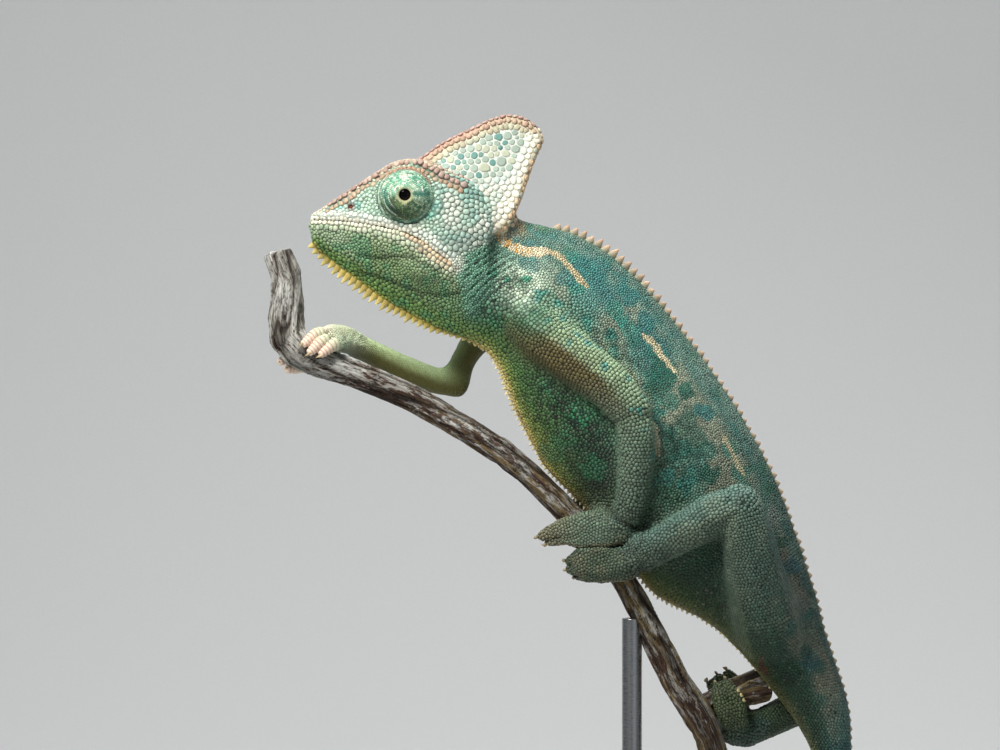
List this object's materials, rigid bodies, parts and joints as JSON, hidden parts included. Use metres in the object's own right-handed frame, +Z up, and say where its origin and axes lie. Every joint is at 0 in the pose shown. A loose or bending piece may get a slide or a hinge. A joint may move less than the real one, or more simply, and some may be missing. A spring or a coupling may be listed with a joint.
{
  "type": "veiled chameleon on a display perch",
  "caption": "Life-size still model of a veiled chameleon climbing a cut length of vine, held by a plain stand with a flat base.",
  "frame": {"origin": "centre of the underside of the stand's flat base, on the surface that it stands on", "axes": "+Z up; the head points to -X and the tail to +X; the animal's left side faces -Y; the animal's middle plane is Y = 0"},
  "size_m": [0.17, 0.1, 0.2591],
  "materials": {
    "skin": "matte scaly skin, green and turquoise with cream, tan and yellow-orange markings",
    "eye": "wet gloss, black pupil with a fine gold ring",
    "claw": "pale horn, slightly glossy",
    "vine_wood": "weathered grey vine with dark brown grooves",
    "stand_plate": "satin black paint",
    "stand_steel": "brushed"
  },
  "bodies": {
    "root": {"casque": "skin", "chest": "skin", "claw_foot_inner_1_left": "claw", "claw_foot_inner_1_right": "claw", "claw_foot_inner_2_left": "claw", "claw_foot_inner_2_right": "claw", "claw_foot_outer_1_left": "claw", "claw_foot_outer_1_right": "claw", "claw_foot_outer_2_left": "claw", "claw_foot_outer_2_right": "claw", "claw_foot_outer_3_left": "claw", "claw_foot_outer_3_right": "claw", "claw_hand_inner_1_left": "claw", "claw_hand_inner_1_right": "claw", "claw_hand_inner_2_left": "claw", "claw_hand_inner_2_right": "claw", "claw_hand_inner_3_left": "claw", "claw_hand_inner_3_right": "claw", "claw_hand_outer_1_left": "claw", "claw_hand_outer_1_right": "claw", "claw_hand_outer_2_left": "claw", "claw_hand_outer_2_right": "claw", "eye_turret_left": "skin", "eye_turret_right": "skin", "eyeball_left": "eye", "eyeball_right": "eye", "foot_inner_left": "skin", "foot_inner_right": "skin", "foot_outer_left": "skin", "foot_outer_right": "skin", "forearm_left": "skin", "forearm_right": "skin", "hand_inner_left": "skin", "hand_inner_right": "skin", "hand_outer_left": "skin", "hand_outer_right": "skin", "head": "skin", "lower_jaw": "skin", "neck": "skin", "pelvis": "skin", "perch": "vine_wood", "shank_left": "skin", "shank_right": "skin", "stand_base": "stand_plate", "stand_rod_back": "stand_steel", "stand_rod_front": "stand_steel", "tail_base": "skin", "tail_coil_1": "skin", "tail_coil_2": "skin", "tail_coil_3": "skin", "tail_tip": "skin", "tail_upper": "skin", "thigh_left": "skin", "thigh_right": "skin", "trunk": "skin", "upper_arm_left": "skin", "upper_arm_right": "skin"}
  },
  "joints": []
}
